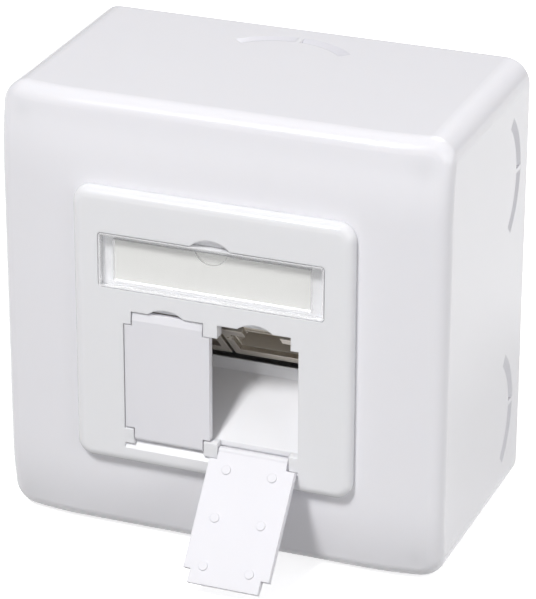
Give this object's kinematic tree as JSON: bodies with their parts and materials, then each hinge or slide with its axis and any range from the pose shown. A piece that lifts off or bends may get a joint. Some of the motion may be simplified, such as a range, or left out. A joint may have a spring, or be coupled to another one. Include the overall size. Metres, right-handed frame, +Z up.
{
  "type": "ethernet wall socket",
  "caption": "Square surface-mounted network outlet: slanted screened data ports behind hinged dust flaps, clear label window, deep moulded cap.",
  "frame": {"origin": "centre of the base's back face, on the wall", "axes": "+X right as seen from the room, +Y into the wall, +Z up"},
  "size_m": [0.08, 0.0607, 0.08],
  "materials": {
    "white_moulding": "glossy moulded ABS",
    "base_moulding": "satin moulded ABS",
    "clear_moulding": "clear moulded polystyrene",
    "label_paper": "matt card",
    "zinc_plated_steel": "zinc plated sheet",
    "screw_steel": "zinc plated",
    "nickel_silver_screen": "plated die casting",
    "jack_plastic": "moulded polyester",
    "gold_contact": "gold plated",
    "board_laminate": "solder-masked laminate",
    "block_plastic": "moulded polycarbonate",
    "tinned_bronze": "tinned"
  },
  "bodies": {
    "socket": {"cap": "white_moulding", "wall_base": "base_moulding", "support_frame": "zinc_plated_steel", "frame_screws": "screw_steel", "centre_plate": "white_moulding", "plate_screw": "screw_steel", "label_card": "label_paper", "shield_housing": "nickel_silver_screen", "shield_lid": "nickel_silver_screen", "jack_left": "jack_plastic", "jack_right": "jack_plastic", "contacts_left": "gold_contact", "contacts_right": "gold_contact", "circuit_board": "board_laminate", "idc_block_front": "block_plastic", "idc_block_rear": "block_plastic", "idc_blades_front": "tinned_bronze", "idc_blades_rear": "tinned_bronze", "cable_clamp_left": "zinc_plated_steel", "cable_clamp_right": "zinc_plated_steel", "clamp_screws": "screw_steel", "earth_tab": "tinned_bronze"},
    "left_flap": {"flap_left": "white_moulding"},
    "right_flap": {"flap_right": "white_moulding"},
    "window": {"label_window": "clear_moulding"}
  },
  "joints": [
    {"name": "left_flap_hinge", "type": "hinge", "parent": "socket", "child": "left_flap", "pos_m": [0, -0.0457, -0.0196], "axis": [1, 0, 0], "range_deg": [0, 141]},
    {"name": "right_flap_hinge", "type": "hinge", "parent": "socket", "child": "right_flap", "pos_m": [0, -0.0457, -0.0196], "axis": [1, 0, 0], "range_deg": [-141, 0]},
    {"name": "window_slide", "type": "slide", "parent": "socket", "child": "window", "axis": [0, -1, 0], "range_m": [0, 0.006]}
  ]
}
